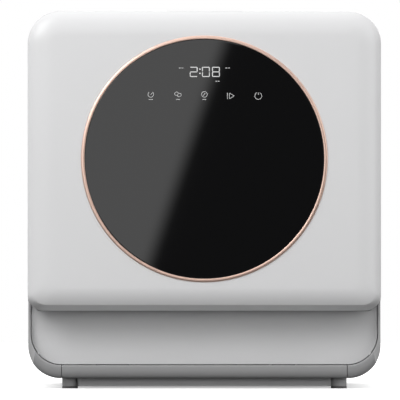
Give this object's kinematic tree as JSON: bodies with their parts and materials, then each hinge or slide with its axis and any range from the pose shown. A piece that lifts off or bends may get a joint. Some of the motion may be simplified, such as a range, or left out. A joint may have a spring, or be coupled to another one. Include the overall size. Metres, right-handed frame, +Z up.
{
  "type": "countertop dishwasher",
  "caption": "Countertop dishwasher with a drop-down door, round glass dial, rolling wire basket, spray arms, water tank, pumps and water connections.",
  "frame": {"origin": "on the table, under the middle of the machine's outer box", "axes": "+Z up; the door faces -Y; +X is to the right of someone facing the door"},
  "size_m": [0.42, 0.435, 0.449],
  "materials": {
    "casing_grey": "satin light grey powder coat",
    "door_grey": "satin light grey paint on moulded plastic",
    "toe_silver": "silver-grey satin plastic",
    "base_grey": "grey moulded plastic",
    "bar_silver": "silver-grey satin plastic",
    "foot_grey": "grey moulded plastic",
    "pad_rubber": "matt rubber",
    "rear_sheet": "satin grey sheet",
    "screw_steel": "zinc-plated",
    "tub_steel": "brushed stainless",
    "seal_rubber": "soft matt rubber",
    "rail_steel": "stainless",
    "lamp_lens": "frosted lens",
    "tank_plastic": "natural moulded plastic",
    "lid_plastic": "satin light grey",
    "valve_plastic": "white moulded plastic",
    "hose_rubber": "matt rubber",
    "port_plastic": "dark moulded plastic",
    "sump_plastic": "grey moulded plastic",
    "filter_steel": "perforated stainless",
    "filter_plastic": "grey-blue moulded plastic",
    "arm_plastic": "light grey moulded plastic",
    "nut_plastic": "dark moulded plastic",
    "pump_plastic": "black moulded plastic",
    "heater_steel": "stainless tube",
    "board_green": "solder-masked board",
    "float_foam": "closed-cell foam",
    "fan_plastic": "black moulded plastic",
    "hinge_steel": "zinc-plated steel",
    "spring_steel": "spring steel",
    "ring_metal": "rose-tinted anodised, satin",
    "dial_glass": "black-backed polished glass",
    "carrier_black": "black moulded plastic",
    "panel_steel": "brushed stainless",
    "dispenser_plastic": "light grey moulded plastic",
    "cap_blue": "blue moulded plastic",
    "rack_wire": "grey nylon-coated steel wire",
    "basket_plastic": "grey moulded plastic",
    "roller_plastic": "white moulded plastic"
  },
  "bodies": {
    "casing": {"outer_casing": "casing_grey", "base_bar": "bar_silver", "toe_panel": "toe_silver", "base_tray": "base_grey", "feet": "foot_grey", "foot_pads": "pad_rubber", "rear_panel": "rear_sheet", "rear_screws": "screw_steel", "tub": "tub_steel", "door_gasket": "seal_rubber", "rack_rails": "rail_steel", "tub_lamp": "lamp_lens", "water_tank": "tank_plastic", "inlet_valve": "valve_plastic", "drain_outlet": "port_plastic", "water_hoses": "hose_rubber", "cord_gland": "port_plastic", "sump": "sump_plastic", "coarse_filter": "filter_steel", "feed_manifold": "sump_plastic", "upper_feed_duct": "arm_plastic", "arm_nuts": "nut_plastic", "wash_pump": "pump_plastic", "water_heater": "heater_steel", "drain_pump": "pump_plastic", "power_board": "board_green", "fan_housing": "fan_plastic", "hinge_brackets": "hinge_steel", "hinge_pins": "hinge_steel", "door_springs": "spring_steel", "door_lock": "port_plastic"},
    "door": {"door_shell": "door_grey", "trim_ring": "ring_metal", "glass_panel": "dial_glass", "glass_carrier": "carrier_black", "display_unit": "board_green", "door_inner_panel": "panel_steel", "latch_tongue": "hinge_steel", "door_hinge_plates": "hinge_steel", "detergent_dispenser": "dispenser_plastic"},
    "filling_lid": {"fill_lid": "lid_plastic"},
    "filter": {"filter_cup": "filter_plastic"},
    "lower_arm": {"lower_spray_arm": "arm_plastic"},
    "upper_arm": {"upper_spray_arm": "arm_plastic"},
    "wash_rotor": {"wash_impeller": "roller_plastic"},
    "drain_rotor": {"drain_impeller": "roller_plastic"},
    "float": {"leak_float": "float_foam"},
    "fan": {"fan_rotor": "fan_plastic"},
    "pawl": {"latch_pawl": "roller_plastic"},
    "sliding_lid": {"detergent_lid": "dispenser_plastic"},
    "cap": {"rinse_cap": "cap_blue"},
    "rack": {"rack_floor": "rack_wire", "rack_sides": "rack_wire", "rack_fittings": "rack_wire"},
    "tines": {"fold_tines": "rack_wire"},
    "cutlery": {"cutlery_basket": "basket_plastic"},
    "roller_1": {"roller_front_left": "roller_plastic"},
    "roller_2": {"roller_front_right": "roller_plastic"},
    "roller_3": {"roller_rear_left": "roller_plastic"},
    "roller_4": {"roller_rear_right": "roller_plastic"}
  },
  "joints": [
    {"name": "door_hinge", "type": "hinge", "parent": "casing", "child": "door", "pos_m": [0, -0.172, 0.101], "axis": [1, 0, 0], "range_deg": [0, 90], "stiffness_Nm_per_rad": 2},
    {"name": "rack_slide", "type": "slide", "parent": "casing", "child": "rack", "axis": [0, -1, 0], "range_m": [0, 0.11]},
    {"name": "roller_1_spin", "type": "hinge", "parent": "rack", "child": "roller_1", "pos_m": [-0.1715, -0.105, 0.1366], "axis": [1, 0, 0], "range_deg": [0, 705]},
    {"name": "roller_2_spin", "type": "hinge", "parent": "rack", "child": "roller_2", "pos_m": [0.1715, -0.105, 0.1366], "axis": [1, 0, 0], "range_deg": [0, 705]},
    {"name": "roller_3_spin", "type": "hinge", "parent": "rack", "child": "roller_3", "pos_m": [-0.1715, 0.095, 0.1366], "axis": [1, 0, 0], "range_deg": [0, 705]},
    {"name": "roller_4_spin", "type": "hinge", "parent": "rack", "child": "roller_4", "pos_m": [0.1715, 0.095, 0.1366], "axis": [1, 0, 0], "range_deg": [0, 705]},
    {"name": "tines_fold", "type": "hinge", "parent": "rack", "child": "tines", "pos_m": [0.03, 0.02, 0.152], "axis": [0, 1, 0], "range_deg": [0, 80]},
    {"name": "cutlery_lift", "type": "slide", "parent": "rack", "child": "cutlery", "axis": [0, 0, 1], "range_m": [0, 0.1]},
    {"name": "lower_arm_spin", "type": "hinge", "parent": "casing", "child": "lower_arm", "pos_m": [0, -0.01, 0.123], "axis": [0, 0, 1], "continuous": true},
    {"name": "upper_arm_spin", "type": "hinge", "parent": "casing", "child": "upper_arm", "pos_m": [0, -0.01, 0.415], "axis": [0, 0, 1], "continuous": true},
    {"name": "filter_twist", "type": "hinge", "parent": "casing", "child": "filter", "pos_m": [0, -0.075, 0.1], "axis": [0, 0, 1], "range_deg": [0, 90]},
    {"name": "fill_lid_hinge", "type": "hinge", "parent": "casing", "child": "filling_lid", "pos_m": [0.11, 0.196, 0.445], "axis": [-1, 0, 0], "range_deg": [0, 90]},
    {"name": "wash_pump_spin", "type": "hinge", "parent": "casing", "child": "wash_rotor", "pos_m": [-0.11, -0.06, 0.062], "axis": [0, 1, 0], "continuous": true},
    {"name": "drain_pump_spin", "type": "hinge", "parent": "casing", "child": "drain_rotor", "pos_m": [0.095, -0.072, 0.062], "axis": [0, 1, 0], "continuous": true},
    {"name": "fan_spin", "type": "hinge", "parent": "casing", "child": "fan", "pos_m": [-0.148, 0.19, 0.35], "axis": [0, 1, 0], "continuous": true},
    {"name": "float_rise", "type": "slide", "parent": "casing", "child": "float", "axis": [0, 0, 1], "range_m": [0, 0.008]},
    {"name": "pawl_slide", "type": "slide", "parent": "casing", "child": "pawl", "axis": [1, 0, 0], "range_m": [0, 0.003], "stiffness_N_per_m": 200},
    {"name": "detergent_slide", "type": "slide", "parent": "door", "child": "sliding_lid", "axis": [1, 0, 0], "range_m": [0, 0.05]},
    {"name": "cap_twist", "type": "hinge", "parent": "door", "child": "cap", "pos_m": [0.042, -0.163, 0.23], "axis": [0, 1, 0], "range_deg": [0, 90]}
  ],
  "couplings": [
    {"joint": "rack_slide", "follows": "door_hinge", "m_per_rad": 0.07},
    {"joint": "roller_1_spin", "follows": "door_hinge", "ratio": 7.7778},
    {"joint": "roller_2_spin", "follows": "door_hinge", "ratio": 7.7778},
    {"joint": "roller_3_spin", "follows": "door_hinge", "ratio": 7.7778},
    {"joint": "roller_4_spin", "follows": "door_hinge", "ratio": 7.7778}
  ]
}
